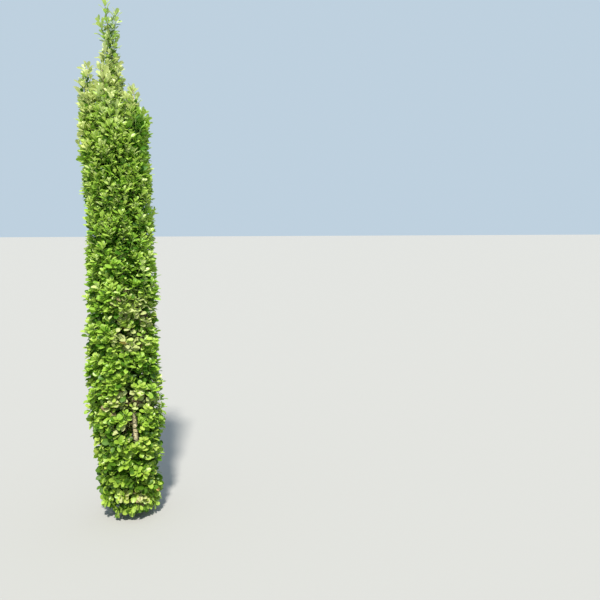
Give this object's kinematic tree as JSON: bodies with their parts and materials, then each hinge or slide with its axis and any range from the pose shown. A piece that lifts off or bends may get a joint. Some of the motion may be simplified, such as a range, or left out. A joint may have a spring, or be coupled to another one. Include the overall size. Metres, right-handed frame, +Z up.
{
  "type": "japanese spindle tree",
  "caption": "Narrow columnar evergreen tree with one slender trunk, steep boughs in opposite pairs, dense glossy foliage from the ground up and a leafy pointed top.",
  "frame": {"origin": "middle of the flat cut under the trunk, at ground level", "axes": "+Z up along the trunk; the crown leans a little and is fuller towards -X"},
  "size_m": [0.4976, 0.4742, 2.9449],
  "materials": {
    "bark": "pale tan bark with fine furrows",
    "young_bark": "smooth greenish brown",
    "foliage": "glossy leathery leaves"
  },
  "bodies": {
    "root": {"bough_1a": "young_bark", "bough_1b": "young_bark", "bough_2a": "young_bark", "bough_2b": "young_bark", "bough_3a": "young_bark", "bough_3b": "young_bark", "bough_4a": "young_bark", "bough_4b": "young_bark", "bough_5a": "young_bark", "bough_5b": "young_bark", "bough_6a": "young_bark", "bough_6b": "young_bark", "bough_7a": "young_bark", "bough_7b": "young_bark", "bough_8a": "young_bark", "bough_8b": "young_bark", "bough_spire_back": "young_bark", "bough_spire_back_right": "young_bark", "bough_spire_far_right": "young_bark", "bough_spire_front": "young_bark", "bough_spire_left": "young_bark", "bough_spire_left_low": "young_bark", "bough_spire_right": "young_bark", "foliage_1a": "foliage", "foliage_1b": "foliage", "foliage_2a": "foliage", "foliage_2b": "foliage", "foliage_3a": "foliage", "foliage_3b": "foliage", "foliage_4a": "foliage", "foliage_4b": "foliage", "foliage_5a": "foliage", "foliage_5b": "foliage", "foliage_6a": "foliage", "foliage_6b": "foliage", "foliage_7a": "foliage", "foliage_7b": "foliage", "foliage_8a": "foliage", "foliage_8b": "foliage", "leader": "foliage", "spire_back": "foliage", "spire_back_right": "foliage", "spire_far_right": "foliage", "spire_front": "foliage", "spire_left": "foliage", "spire_left_low": "foliage", "spire_right": "foliage", "trunk": "bark"}
  },
  "joints": []
}
